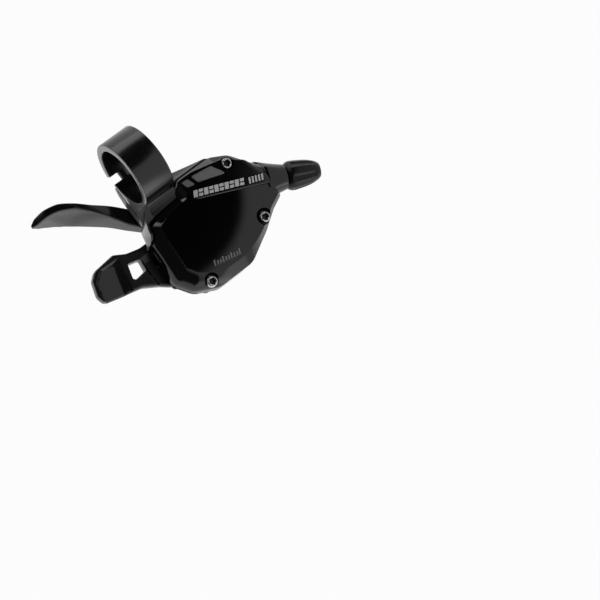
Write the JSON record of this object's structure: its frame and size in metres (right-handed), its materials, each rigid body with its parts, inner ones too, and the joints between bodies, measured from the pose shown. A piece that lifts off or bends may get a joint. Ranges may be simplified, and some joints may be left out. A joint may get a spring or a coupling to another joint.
{
  "type": "thumb shifter",
  "caption": "Right-hand trigger shifter with a split handlebar clamp, glossy cover, two thumb levers and a cable adjuster.",
  "frame": {"origin": "centre of the handlebar bore, at the middle of the clamp's width", "axes": "+X along the handlebar towards the cable adjuster (inboard), +Y from the mechanism towards the handlebar, +Z out of the top cover"},
  "size_m": [0.0963, 0.066, 0.035],
  "materials": {
    "black_anodised": "satin black anodised",
    "dark_steel": "black oxide",
    "steel": "plated",
    "black_plastic": "semi-matt black",
    "gloss_cover": "gloss black",
    "gloss_plate": "gloss black with grey print",
    "smoked_lens": "smoked grey gloss",
    "lever_plastic": "satin black",
    "adjuster_plastic": "semi-matt black",
    "white_plastic": "natural acetal",
    "brass": "turned",
    "rubber": "matt"
  },
  "bodies": {
    "body": {"clamp_band": "black_anodised", "clamp_lug": "black_anodised", "clamp_bolt": "dark_steel", "clamp_fixing_screw_1": "steel", "clamp_fixing_screw_2": "steel", "housing_base": "black_plastic", "top_cover": "gloss_cover", "name_plate": "gloss_plate", "indicator_lens_large": "smoked_lens", "indicator_lens_small": "smoked_lens", "cover_screw_1": "steel", "cover_screw_2": "steel", "cover_screw_3": "steel", "cable_port_plug": "rubber", "main_shaft": "steel", "shaft_circlip": "steel", "spool_spring": "steel", "pull_lever_spring": "steel", "release_lever_spring": "steel", "hold_pawl_pin": "steel", "hold_pawl_spring": "steel", "adjuster_detent_spring": "steel"},
    "pull_lever": {"pull_lever_plate": "steel", "pull_lever_paddle": "lever_plastic", "pull_lever_bush": "brass", "pull_pawl_pin": "steel", "pull_pawl_spring": "steel"},
    "pull_pawl": {"pull_pawl": "steel"},
    "release_lever": {"release_lever_plate": "steel", "release_lever_grip": "lever_plastic", "release_lever_bush": "brass", "release_link_pin": "steel"},
    "hold_pawl": {"hold_pawl": "steel"},
    "spool": {"cable_spool": "white_plastic", "ratchet_wheel": "steel", "spool_bush": "brass"},
    "adjuster_ferrule": {"housing_ferrule": "brass"},
    "adjuster_knob": {"barrel_adjuster": "adjuster_plastic"}
  },
  "joints": [
    {"name": "pull_lever_swing", "type": "hinge", "parent": "body", "child": "pull_lever", "pos_m": [0.005, -0.0355, 0], "axis": [0, 0, 1], "range_deg": [0, 54], "stiffness_Nm_per_rad": 0.15, "springref_deg": -17.19},
    {"name": "release_lever_swing", "type": "hinge", "parent": "body", "child": "release_lever", "pos_m": [0.005, -0.0355, 0], "axis": [0, 0, 1], "range_deg": [0, 12], "stiffness_Nm_per_rad": 0.15, "springref_deg": -17.19},
    {"name": "spool_turn", "type": "hinge", "parent": "body", "child": "spool", "pos_m": [0.005, -0.0355, 0], "axis": [0, 0, 1], "range_deg": [0, 162], "stiffness_Nm_per_rad": 0.01, "springref_deg": -28.65},
    {"name": "pull_pawl_rock", "type": "hinge", "parent": "pull_lever", "child": "pull_pawl", "pos_m": [0.01138, -0.04751, 0], "axis": [0, 0, 1], "range_deg": [-10, 0], "stiffness_Nm_per_rad": 0.001},
    {"name": "hold_pawl_rock", "type": "hinge", "parent": "body", "child": "hold_pawl", "pos_m": [0.01185, -0.02261, 0], "axis": [0, 0, 1], "range_deg": [0, 12]},
    {"name": "adjuster_travel", "type": "slide", "parent": "body", "child": "adjuster_ferrule", "axis": [0.915, -0.4035, 0], "range_m": [0, 0.0024]},
    {"name": "adjuster_turn", "type": "hinge", "parent": "adjuster_ferrule", "child": "adjuster_knob", "pos_m": [0.0439, -0.0343, -0.0022], "axis": [0.915, -0.4035, 0], "range_deg": [0, 1080]}
  ],
  "couplings": [
    {"joint": "hold_pawl_rock", "follows": "release_lever_swing", "ratio": 1},
    {"joint": "adjuster_turn", "follows": "adjuster_travel", "rad_per_m": 7854}
  ]
}
